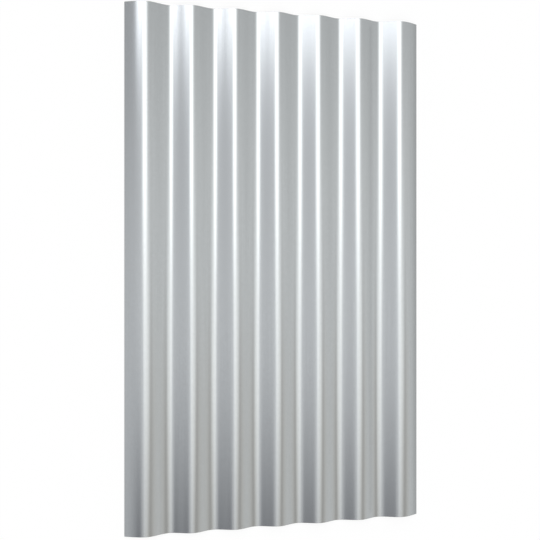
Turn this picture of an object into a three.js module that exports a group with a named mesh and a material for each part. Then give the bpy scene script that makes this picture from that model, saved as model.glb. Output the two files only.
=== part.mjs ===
// Corrugated steel sheet: one flat strip, roll-formed into rounded waves along its whole
// length and cut square at both ends. The corrugation beside each long edge is taller than
// the others, so that it laps over the outer corrugation of the next sheet.
//
// Frame: the sheet lies face up on its troughs. X runs across the corrugations, Y along
// them and Z up, with the origin under the middle of the sheet. Lengths are in millimetres.

import * as THREE from 'three';

// The blank
const sheetLength = 600; // along the corrugations
const sheetThickness = 0.5;

// Inner corrugations, measured on the centre line of the metal
const innerCrests = 5; // an odd number, with one in the middle
const pitch = 51.4; // crest to crest
const waveDepth = 8.8; // trough to crest

// Lap corrugations, one beside each long edge
const lapRun = 28; // outermost trough to lap crest, across the sheet
const lapHeight = 10.5; // that trough to lap crest, up
const lipRun = 23.5; // lap crest to the cut edge, across the sheet

// Facets: along the top of each crest and the bottom of each trough lies a level one
const levelDip = 0.012; // from the true crest down to its level facet
const slopeSteps = 6; // from a level facet to the steepest one

const galvanisedSteel = new THREE.MeshStandardMaterial({
  name: 'galvanised_steel',
  color: 0xb2b4b4,
  metalness: 0.9,
  roughness: 0.35,
});

// The metal runs from bend to bend in S-curves: over a share s of the run, it rises by
// 3 s² - 2 s³ of the whole. It is level at both bends and steepest half way.
function curvePoint(start, end, share) {
  const run = end.x - start.x;
  const rise = end.z - start.z;
  return {
    x: start.x + run * share,
    z: start.z + rise * share ** 2 * (3 - 2 * share),
    slope: (rise / run) * 6 * share * (1 - share),
  };
}

// Shares of the run at the corners of the facets between a level bend and the steepest
// point. The slope grows from one corner to the next by equal steps, in parts of 1.
function cornerShares(rise, stepsToSteepest) {
  const levelShare = Math.sqrt(levelDip / (3 * Math.abs(rise)));
  const levelSlope = 4 * levelShare * (1 - levelShare);
  const shares = [];
  for (let step = 0; step <= stepsToSteepest; step += 1) {
    const slope = levelSlope + ((1 - levelSlope) * step) / stepsToSteepest;
    shares.push((1 - Math.sqrt(1 - slope)) / 2);
  }
  return shares;
}

// From one bend to the next. Its steepest facet lies across the half-way point.
function waveCurve(start, end) {
  const shares = cornerShares(end.z - start.z, slopeSteps + 0.5);
  const mirrored = shares.map((share) => 1 - share).reverse();
  return [...shares, ...mirrored].map((share) => curvePoint(start, end, share));
}

// From the lap crest to the cut edge: the first half of a curve twice as long and as deep,
// so that the metal reaches the edge straight
function lipCurve(crest) {
  const end = { x: crest.x + 2 * lipRun, z: crest.z - 2 * lapHeight };
  return cornerShares(end.z - crest.z, slopeSteps).map((share) => curvePoint(crest, end, share));
}

// Centre line from the left edge to the right one, the same on both sides of the middle crest
function centreLine() {
  const outerTrough = (innerCrests * pitch) / 2;
  const bends = [];
  for (let bend = 0; bend <= innerCrests; bend += 1) {
    bends.push({ x: (bend * pitch) / 2, z: bend % 2 === 0 ? waveDepth : 0 });
  }
  const lapCrest = { x: outerTrough + lapRun, z: lapHeight };
  bends.push(lapCrest);

  const right = bends.slice(1).flatMap((bend, index) => waveCurve(bends[index], bend));
  right.push(...lipCurve(lapCrest));
  const left = right.map(({ x, z, slope }) => ({ x: -x, z, slope: -slope })).reverse();
  return [...left, ...right];
}

// One face of the sheet as seen in its section, at an offset above the centre line
function faceLine(line, offset) {
  return line.map(({ x, z, slope }) => {
    const angle = Math.atan(slope);
    return new THREE.Vector2(x - offset * Math.sin(angle), z + offset * Math.cos(angle));
  });
}

// The section is drawn in X and Z, carried along the sheet and set down on its troughs
function sheetGeometry() {
  const line = centreLine();
  const face = faceLine(line, sheetThickness / 2);
  const back = faceLine(line, -sheetThickness / 2);
  const section = new THREE.Shape([...face, ...back.reverse()]);
  const geometry = new THREE.ExtrudeGeometry(section, {
    depth: sheetLength,
    bevelEnabled: false,
  });
  geometry.rotateX(Math.PI / 2);
  geometry.computeBoundingBox();
  geometry.translate(0, sheetLength / 2, -geometry.boundingBox.min.z);
  return geometry;
}

const sheet = new THREE.Mesh(sheetGeometry(), galvanisedSteel);
sheet.name = 'corrugated_sheet';

const part = new THREE.Group();
part.name = 'corrugated_metal_sheet';
part.add(sheet);

export default part;
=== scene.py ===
# Corrugated galvanised steel sheet, lying face up on its troughs.
# Metres; X runs across the corrugations, Y along them and Z up.
import math

import bpy
import numpy as np
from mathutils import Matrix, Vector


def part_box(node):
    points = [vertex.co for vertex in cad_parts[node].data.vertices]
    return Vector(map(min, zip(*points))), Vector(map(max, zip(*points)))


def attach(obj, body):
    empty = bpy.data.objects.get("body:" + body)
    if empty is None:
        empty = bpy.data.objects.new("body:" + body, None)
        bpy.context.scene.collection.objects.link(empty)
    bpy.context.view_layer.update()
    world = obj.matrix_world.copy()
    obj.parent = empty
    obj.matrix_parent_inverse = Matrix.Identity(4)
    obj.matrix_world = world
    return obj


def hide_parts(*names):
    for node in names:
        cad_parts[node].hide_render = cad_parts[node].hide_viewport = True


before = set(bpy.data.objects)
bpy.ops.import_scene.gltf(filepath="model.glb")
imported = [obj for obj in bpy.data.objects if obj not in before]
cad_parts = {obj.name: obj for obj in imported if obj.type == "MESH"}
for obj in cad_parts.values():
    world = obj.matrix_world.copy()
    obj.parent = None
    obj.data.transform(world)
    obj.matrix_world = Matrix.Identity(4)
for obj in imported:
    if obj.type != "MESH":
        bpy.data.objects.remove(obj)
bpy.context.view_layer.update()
sheetLow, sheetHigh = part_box("corrugated_sheet")
print("frame loaded")


# Adds a node: inputs are values or the sockets that feed them, settings are its own fields
def addNode(tree, kind, inputs=None, **settings):
    node = tree.nodes.new(kind)
    for name, value in settings.items():
        setattr(node, name, value)
    for name, value in (inputs or {}).items():
        if isinstance(value, bpy.types.NodeSocket):
            tree.links.new(value, node.inputs[name])
        else:
            node.inputs[name].default_value = value
    return node


def calculate(tree, operation, *values):
    return addNode(tree, "ShaderNodeMath", dict(enumerate(values)), operation=operation).outputs[0]


# S-shaped rise from 0 at start to 1 at end; with start above end it is a fall
def ease(tree, value, start, end):
    rising = start < end
    node = addNode(tree, "ShaderNodeMapRange", {
        "Value": value,
        "From Min": min(start, end),
        "From Max": max(start, end),
        "To Min": 0.0 if rising else 1.0,
        "To Max": 1.0 if rising else 0.0,
    }, interpolation_type="SMOOTHSTEP")
    return node.outputs["Result"]


# 1 between the two ends of a span and 0 outside it, with each end spread over its softness
def softBand(tree, value, span, softness):
    low, high = span
    lowHalf, highHalf = softness[0] / 2, softness[1] / 2
    rise = ease(tree, value, low - lowHalf, low + lowHalf)
    fall = ease(tree, value, high + highHalf, high - highHalf)
    return calculate(tree, "MULTIPLY", rise, fall)


sheetSettings = {
    "thickness": 0.0005,
    "innerCrests": 5,         # an odd number, with one in the middle
    "pitch": 0.0514,          # crest to crest
    "waveDepth": 0.0088,      # trough to crest, on the centre line of the metal
    "lapRun": 0.028,          # outermost trough to lap crest
    "lapHeight": 0.0105,
    "lipRun": 0.0235,         # lap crest to cut edge
    "cornerRadius": 0.00015,  # on the sheared edges
    "endShare": 0.999,        # of that radius at the cut ends, so no corner shrinks to a point
    "cornerHold": 0.00015,    # from a rounded corner to the next row of points
    "sharpAngle": 25.0,       # edges turned by more than this many degrees stay crisp
    "waveSteps": 40,          # from a trough to the next crest
    "lipSteps": 24,
    "cornerSteps": 3,
    "lengthSteps": 16,
}


# Centre line of the section and its upward normals, the same on both sides of the middle.
# From bend to bend the metal runs in S-curves: over a share s of the run it rises by
# 3 s^2 - 2 s^3 of the whole, with 6 s (1 - s) times the mean slope. The lip beyond a lap
# crest is the first half of a curve twice as long and as deep.
def centreLine(sheet):
    bends = [(0.0, sheet["waveDepth"])]
    for bend in range(1, sheet["innerCrests"] + 1):
        bends.append((bend * sheet["pitch"] / 2, sheet["waveDepth"] * (1 - bend % 2)))
    bends.append((bends[-1][0] + sheet["lapRun"], sheet["lapHeight"]))
    bends.append((bends[-1][0] + 2 * sheet["lipRun"], -sheet["lapHeight"]))
    waveShares = np.linspace(0, 1, sheet["waveSteps"] + 1)[1:]
    lipShares = np.linspace(0, 0.5, sheet["lipSteps"] + 1)[1:]
    points = [np.array(bends[:1])]
    slopes = [np.zeros(1)]
    for start, end in zip(bends, bends[1:]):
        share = lipShares if end is bends[-1] else waveShares
        run, rise = end[0] - start[0], end[1] - start[1]
        heights = start[1] + rise * share ** 2 * (3 - 2 * share)
        points.append(np.stack([start[0] + run * share, heights], axis=1))
        slopes.append(rise / run * 6 * share * (1 - share))
    right, rightSlope = np.concatenate(points), np.concatenate(slopes)
    line = np.concatenate([right[:0:-1] * (-1, 1), right])
    slope = np.concatenate([-rightSlope[:0:-1], rightSlope])
    normals = np.stack([-slope, np.ones_like(slope)], axis=1)
    return line, normals / np.linalg.norm(normals, axis=1, keepdims=True)


# Closed outline of the section, taken in by inset all round: the face from left to right,
# the right edge with its two quarter rounds, the back from right to left, the left edge
def sectionOutline(line, normals, sheet, inset):
    half = sheet["thickness"] / 2 - inset
    radius = sheet["cornerRadius"] - inset
    turn = np.linspace(0, np.pi / 2, sheet["cornerSteps"] + 1)[1:, None]
    body = line.copy()
    edges = []
    for end, inner, side in ((-1, -2, 1), (0, 1, -1)):
        outward = side * np.array([normals[end, 1], -normals[end, 0]])
        body[end] -= outward * sheet["cornerRadius"]
        body[inner] = body[end] - outward * sheet["cornerHold"]
        reach = outward * radius * np.sin(turn)
        lift = normals[end] * (half - radius + radius * np.cos(turn))
        edges.append((body[end] + reach + lift, body[end] + reach - lift))
    (rightTop, rightBottom), (leftTop, leftBottom) = edges
    face = body + normals * half
    back = body - normals * half
    return np.concatenate([face, rightTop, rightBottom[::-1], back[::-1], leftBottom, leftTop[::-1]])


# The outline carried along Y in rows. Over the last corner radius at each end the outline
# draws in on a quarter round, and strips between face and back close the cut end. The
# attribute unrolled holds each point's place on the flat strip: the distance round the
# outline from the left edge, and the distance along the sheet
def buildSheet(name, sheet, low, high):
    line, normals = centreLine(sheet)
    line = line + np.array([(low[0] + high[0]) / 2, low[2] + sheet["thickness"] / 2])
    radius = sheet["cornerRadius"] * sheet["endShare"]
    turn = np.linspace(0, np.pi / 2, sheet["cornerSteps"] + 1)
    held = radius + sheet["cornerHold"]
    middle = np.linspace(low[1] + held, high[1] - held, sheet["lengthSteps"] + 1)
    insets = radius * (1 - np.cos(turn))
    reach = radius * np.sin(turn)
    rowInset = np.concatenate([insets[::-1], np.zeros_like(middle), insets])
    rowY = np.concatenate([(low[1] + radius - reach)[::-1], middle, high[1] - radius + reach])

    outlines = np.stack([sectionOutline(line, normals, sheet, inset) for inset in rowInset])
    rows, around = outlines.shape[:2]
    points = np.empty((rows, around, 3))
    points[..., 0::2] = outlines
    points[..., 1] = rowY[:, None]

    here = np.arange(rows * around).reshape(rows, around)
    beside = np.roll(here, -1, axis=1)
    walls = np.stack([here[:-1], beside[:-1], beside[1:], here[1:]], axis=-1)
    # Behind the face's point n lies the outline's point backEnd - n
    across = len(line)
    edgeCount = 2 * sheet["cornerSteps"]
    backEnd = 2 * across + edgeCount - 1
    strip = np.arange(across - 1)
    cap = np.stack([strip + 1, strip, backEnd - strip, backEnd - strip - 1], axis=1)
    rightRound = np.arange(across - 1, across + edgeCount + 1)
    leftRound = np.append(np.arange(backEnd, around), 0)
    lastRow = (rows - 1) * around

    sheared = np.zeros((rows - 1, around), dtype=bool)
    sheared[: sheet["cornerSteps"]] = True
    sheared[-sheet["cornerSteps"]:] = True
    sheared[:, rightRound[:-1]] = True
    sheared[:, leftRound[:-1]] = True

    faces = walls.reshape(-1, 4).tolist()
    faces += cap.tolist() + (cap[:, ::-1] + lastRow).tolist()
    for rim in (rightRound, leftRound):
        faces += [rim[::-1].tolist(), (rim + lastRow).tolist()]
    slots = np.ones(len(faces), dtype=np.int32)  # 0 is the zinc coat and 1 the sheared edge
    slots[: sheared.size] = sheared.ravel()

    mesh = bpy.data.meshes.new(name)
    mesh.from_pydata(points.reshape(-1, 3).tolist(), [], faces)
    mesh.polygons.foreach_set("material_index", slots)
    flatPlace = np.zeros((rows, around, 3))
    strides = np.linalg.norm(np.diff(outlines[rows // 2], axis=0), axis=1)
    flatPlace[..., 0] = np.append(0, np.cumsum(strides))
    flatPlace[..., 1] = rowY[:, None]
    unrolled = mesh.attributes.new("unrolled", "FLOAT_VECTOR", "POINT")
    unrolled.data.foreach_set("vector", flatPlace.ravel())
    mesh.polygons.foreach_set("use_smooth", np.ones(len(faces), dtype=bool))
    mesh.set_sharp_from_angle(angle=math.radians(sheet["sharpAngle"]))
    mesh.update()
    piece = bpy.data.objects.new(name, mesh)
    bpy.context.scene.collection.objects.link(piece)
    return piece


rolledSheet = buildSheet("rolledSheet", sheetSettings, sheetLow, sheetHigh)
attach(rolledSheet, "root")
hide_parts("corrugated_sheet")
print("sheet rolled:", len(rolledSheet.data.polygons), "faces")


grainSettings = {
    "bandWiden": 9.0,       # a band is this many times as wide and as long as a line
    "lineDetail": 3.0,      # finer and finer layers in the noise of the lines
    "bandDetail": 1.0,      # and of the bands
    "detailStrength": 0.6,  # of each layer, as a share of the one before
}


# Grain of rolled metal on its flat place in metres: lines drawn out lengthwise, from a noise
# that is stretched along them, wider bands made the same way, and small crystals, each with
# a tone of its own
def makeGrainGroup(settings):
    group = bpy.data.node_groups.new("rolledGrain", "ShaderNodeTree")
    group.interface.new_socket(name="Place", in_out="INPUT", socket_type="NodeSocketVector")
    for name in ("Line Width", "Line Length", "Crystal Size"):
        group.interface.new_socket(name=name, in_out="INPUT", socket_type="NodeSocketFloat")
    for name in ("Lines", "Bands", "Crystals"):
        group.interface.new_socket(name=name, in_out="OUTPUT", socket_type="NodeSocketFloat")
    given = addNode(group, "NodeGroupInput")
    place = given.outputs["Place"]
    grains = {}
    for name, widen, detail in (
        ("Lines", 1.0, settings["lineDetail"]),
        ("Bands", settings["bandWiden"], settings["bandDetail"]),
    ):
        across = calculate(group, "MULTIPLY", given.outputs["Line Width"], widen)
        lengthways = calculate(group, "MULTIPLY", given.outputs["Line Length"], widen)
        span = addNode(group, "ShaderNodeCombineXYZ", {"X": across, "Y": lengthways, "Z": across})
        drawn = addNode(group, "ShaderNodeVectorMath", {
            0: place, 1: span.outputs[0]}, operation="DIVIDE")
        noise = addNode(group, "ShaderNodeTexNoise", {
            "Vector": drawn.outputs[0],
            "Scale": 1.0,
            "Detail": detail,
            "Roughness": settings["detailStrength"],
        })
        grains[name] = noise.outputs["Fac"]
    fineness = calculate(group, "DIVIDE", 1.0, given.outputs["Crystal Size"])
    grid = addNode(group, "ShaderNodeVectorMath", {0: place, "Scale": fineness}, operation="SCALE")
    cells = addNode(group, "ShaderNodeTexVoronoi", {"Vector": grid.outputs[0], "Scale": 1.0})
    tones = addNode(group, "ShaderNodeSeparateColor", {"Color": cells.outputs["Color"]})
    grains["Crystals"] = tones.outputs["Red"]
    addNode(group, "NodeGroupOutput", grains)
    return group


zincFinish = {
    "darkCoat": (0.463, 0.486, 0.492, 1.0),
    "paleCoat": (0.496, 0.521, 0.528, 1.0),
    "toneRange": (0.3, 0.7),        # sums of the grains that give the dark and the pale coat
    "roughness": (0.165, 0.195),    # of the pale coat and the dark coat
    "lineWidth": 0.0011,
    "lineLength": 0.16,
    "crystalSize": 0.0022,
    "shares": {"Lines": 0.62, "Bands": 0.22, "Crystals": 0.16},
    "relief": 0.0000006,            # height of the lines
}
edgeFinish = {
    "darkCoat": (0.22, 0.224, 0.22, 1.0),
    "paleCoat": (0.33, 0.335, 0.33, 1.0),
    "toneRange": (0.3, 0.7),
    "roughness": (0.34, 0.48),
    "lineWidth": 0.0004,
    "lineLength": 0.0012,
    "crystalSize": 0.0003,
    "shares": {"Lines": 0.6, "Bands": 0.2, "Crystals": 0.2},
    "relief": 0.00001,
}


# A material with an empty node tree
def startMaterial(name):
    material = bpy.data.materials.new(name)
    material.use_nodes = True
    tree = material.node_tree
    tree.nodes.clear()
    return material, tree


# Tone = the sum of the three grains by their shares; it mixes the two coats and moves the
# roughness, and the lines alone raise the surface
def makeMetal(name, finish, grainGroup):
    material, tree = startMaterial(name)
    place = addNode(tree, "ShaderNodeAttribute", attribute_name="unrolled").outputs["Vector"]
    grain = addNode(tree, "ShaderNodeGroup", {
        "Place": place,
        "Line Width": finish["lineWidth"],
        "Line Length": finish["lineLength"],
        "Crystal Size": finish["crystalSize"],
    }, node_tree=grainGroup)
    tone = 0.0
    for output, share in finish["shares"].items():
        tone = calculate(tree, "MULTIPLY_ADD", grain.outputs[output], share, tone)
    darkest, palest = finish["toneRange"]
    spread = addNode(tree, "ShaderNodeMapRange", {
        "Value": tone, "From Min": darkest, "From Max": palest})
    coat = addNode(tree, "ShaderNodeMix", {
        "Factor": spread.outputs["Result"],
        "A": finish["darkCoat"],
        "B": finish["paleCoat"],
    }, data_type="RGBA")
    smooth, dull = finish["roughness"]
    roughness = addNode(tree, "ShaderNodeMapRange", {
        "Value": spread.outputs["Result"], "To Min": dull, "To Max": smooth})
    relief = addNode(tree, "ShaderNodeBump", {
        "Height": grain.outputs["Lines"], "Distance": finish["relief"], "Strength": 1.0})
    shader = addNode(tree, "ShaderNodeBsdfPrincipled", {
        "Base Color": coat.outputs["Result"],
        "Metallic": 1.0,
        "Roughness": roughness.outputs["Result"],
        "Normal": relief.outputs["Normal"],
    })
    addNode(tree, "ShaderNodeOutputMaterial", {"Surface": shader.outputs[0]})
    return material


grainGroup = makeGrainGroup(grainSettings)
rolledSheet.data.materials.append(makeMetal("zincCoat", zincFinish, grainGroup))
rolledSheet.data.materials.append(makeMetal("shearedEdge", edgeFinish, grainGroup))
print("finishes mixed")


cameraPlace = {
    "tilt": 17.76,          # degrees from straight down, towards the left edge
    "distance": 1.2213,     # to the plane through the middle of the sheet
    "sideways": 0.0081,     # the sheet's middle lies this far right of the optical axis
    "lengthways": -0.0010,  # and this far along the corrugations from it
    "focalPixels": 1040.0,  # focal length, in pixels of the image
    "imagePixels": 540.0,
    "sensorWidth": 36.0,    # millimetres
    "nearest": 0.05,        # nothing closer to the lens is drawn
}


# The camera looks down from beyond the left edge, with the far end at the top of the picture
def addCamera(place):
    data = bpy.data.cameras.new("camera")
    data.sensor_width = place["sensorWidth"]
    data.lens = place["focalPixels"] / place["imagePixels"] * data.sensor_width
    data.clip_start = place["nearest"]
    camera = bpy.data.objects.new("camera", data)
    tilt = math.radians(place["tilt"])
    right = np.array([math.cos(tilt), 0.0, math.sin(tilt)])
    back = np.array([-math.sin(tilt), 0.0, math.cos(tilt)])
    middle = np.array([0.0, place["lengthways"], sheetSettings["thickness"] / 2])
    camera.location = middle - right * place["sideways"] + back * place["distance"]
    camera.rotation_euler = (0.0, -tilt, 0.0)
    bpy.context.scene.collection.objects.link(camera)
    bpy.context.scene.camera = camera


addCamera(cameraPlace)
print("camera placed")


white = (1.0, 1.0, 1.0)

floorSettings = {
    "half": 6.0,                   # from its middle to each side
    "colour": (0.95, 0.95, 0.95, 1.0),
    "glowShare": 0.88,             # of the white that the camera sees; the rest takes the shadow
    "mirroredGlow": 0.6,           # how bright shiny surfaces see that glow
    "shadeReach": 0.02,            # how near over the floor a thing must stand to cover it
    "shadeOpenness": (0.25, 0.6),  # uncovered shares at which the glow begins and is whole
    "shadeSamples": 16,            # rays that feel for such a thing
}


# The floor is part matt and part glow. The glow is for the camera and shiny surfaces alone,
# and it fades where a thing stands close over the floor, so the contact shadow stays
def addFloor(settings):
    half = settings["half"]
    mesh = bpy.data.meshes.new("floor")
    corners = [(-half, -half, 0), (half, -half, 0), (half, half, 0), (-half, half, 0)]
    mesh.from_pydata(corners, [], [(0, 1, 2, 3)])
    floor = bpy.data.objects.new("floor", mesh)
    bpy.context.scene.collection.objects.link(floor)
    material, tree = startMaterial("paleFloor")
    matt = addNode(tree, "ShaderNodeBsdfDiffuse", {"Color": settings["colour"]})
    path = addNode(tree, "ShaderNodeLightPath")
    seen = calculate(tree, "MAXIMUM", path.outputs["Is Camera Ray"], path.outputs["Is Glossy Ray"])
    seen = calculate(tree, "MAXIMUM", seen, path.outputs["Is Transmission Ray"])
    openness = addNode(tree, "ShaderNodeAmbientOcclusion", {
        "Distance": settings["shadeReach"]}, samples=settings["shadeSamples"])
    uncovered = ease(tree, openness.outputs["AO"], *settings["shadeOpenness"])
    share = calculate(tree, "MULTIPLY", seen, settings["glowShare"])
    share = calculate(tree, "MULTIPLY", share, uncovered)
    mirrored = settings["mirroredGlow"]
    level = calculate(tree, "MULTIPLY_ADD", path.outputs["Is Camera Ray"], 1.0 - mirrored, mirrored)
    glow = addNode(tree, "ShaderNodeEmission", {"Color": (*white, 1.0), "Strength": level})
    both = addNode(tree, "ShaderNodeMixShader", {0: share, 1: matt.outputs[0], 2: glow.outputs[0]})
    addNode(tree, "ShaderNodeOutputMaterial", {"Surface": both.outputs[0]})
    mesh.materials.append(material)


# What shiny surfaces reflect: an even level with soft patches of light and shade on it.
# turn is the angle from straight up towards the right edge, in degrees, and rise is the share
# of a direction that points along the corrugations, towards the far end. A patch adds its
# level times its colour between two turns, each end spread over its softness, and along each
# of its rises it grows from nothing at the first to all at the second.
nearFade = (-0.8, -0.5)  # keeps a patch away from the near horizon
farFade = (0.8, 0.4)     # and from the far one
studioSky = {
    "evenLevel": 0.86,
    "openLevel": 1.05,   # for everything that isn't shiny
    "patches": {
        "strip": {  # the light lines along crests and troughs
            "level": 0.46, "colour": (1.02, 1.0, 1.0),
            "turn": (-12, 15), "softness": (10, 45), "rises": (),
        },
        "glow": {  # a broad brightness over the middle and the near end
            "level": 0.47, "colour": (1.01, 1.0, 1.0),
            "turn": (-16, 69), "softness": (90, 40), "rises": ((0.3, -0.1), nearFade),
        },
        "window": {  # the lines grow wide and white towards the far end
            "level": 1.15, "colour": (1.01, 1.0, 1.0),
            "turn": (-18, 10), "softness": (12, 25), "rises": ((-0.06, 0.12), farFade),
        },
        "ceiling": {  # white wedges at the far end of the left-facing flanks
            "level": 2.6, "colour": (1.0, 1.0, 1.05),
            "turn": (-42, -17), "softness": (15, 25), "rises": ((0.2, 0.25), farFade),
        },
        "leftDusk": {  # left-facing flanks darken towards the near end
            "level": -0.85, "colour": white,
            "turn": (-50, 38), "softness": (40, 20), "rises": ((-0.06, -0.32), nearFade),
        },
        "rightDusk": {  # right-facing flanks darken all the way from the far end
            "level": -0.9, "colour": white,
            "turn": (38, 61), "softness": (25, 50), "rises": ((0.2, -0.23), nearFade),
        },
        "topShade": {  # a little less light from beyond the far end
            "level": -0.2, "colour": white,
            "turn": (-180, 180), "softness": (10, 10), "rises": ((-0.05, 0.6),),
        },
        "leftShade": {  # left-facing flanks are darker in their far half
            "level": -0.15, "colour": white,
            "turn": (-180, -30), "softness": (10, 50), "rises": ((0.0, 0.2),),
        },
        "footLight": {  # the lines keep light left borders near the near end
            "level": 0.3, "colour": white,
            "turn": (-22, -14), "softness": (10, 10), "rises": ((-0.1, -0.2), nearFade),
        },
        "coolSide": {  # left-facing flanks are a little bluer
            "level": 0.02, "colour": (0.0, 0.0, 1.0),
            "turn": (-180, -10), "softness": (10, 30), "rises": (),
        },
        "warmFoot": {  # right-facing flanks are a little warmer near the near end
            "level": 0.02, "colour": (1.0, 0.0, -1.5),
            "turn": (10, 70), "softness": (50, 25), "rises": ((0.0, -0.15), nearFade),
        },
    },
}


# Sky for shiny surfaces = even level + the sum of level * colour * band of turns * ease of
# each rise; everything else is lit by the open level
def addSky(settings):
    world = bpy.data.worlds.new("studio")
    bpy.context.scene.world = world
    world.use_nodes = True
    tree = world.node_tree
    tree.nodes.clear()
    direction = addNode(tree, "ShaderNodeTexCoord").outputs["Object"]
    axes = addNode(tree, "ShaderNodeSeparateXYZ", {"Vector": direction})
    turn = calculate(tree, "ARCTAN2", axes.outputs["X"], axes.outputs["Z"])
    turn = calculate(tree, "MULTIPLY", turn, math.degrees(1))
    light = [settings["evenLevel"]] * 3
    for patch in settings["patches"].values():
        share = softBand(tree, turn, patch["turn"], patch["softness"])
        for start, end in patch["rises"]:
            share = calculate(tree, "MULTIPLY", share, ease(tree, axes.outputs["Y"], start, end))
        added = [patch["level"] * part for part in patch["colour"]]
        light = addNode(tree, "ShaderNodeVectorMath", {
            0: share, 1: added, 2: light}, operation="MULTIPLY_ADD").outputs[0]
    shaped = addNode(tree, "ShaderNodeBackground", {"Color": light, "Strength": 1.0})
    even = addNode(tree, "ShaderNodeBackground", {
        "Color": (*white, 1.0), "Strength": settings["openLevel"]})
    path = addNode(tree, "ShaderNodeLightPath")
    both = addNode(tree, "ShaderNodeMixShader", {
        0: path.outputs["Is Glossy Ray"], 1: even.outputs[0], 2: shaped.outputs[0]})
    addNode(tree, "ShaderNodeOutputWorld", {"Surface": both.outputs[0]})


addFloor(floorSettings)
addSky(studioSky)
bpy.context.scene.view_settings.view_transform = "Standard"
print("studio lit")
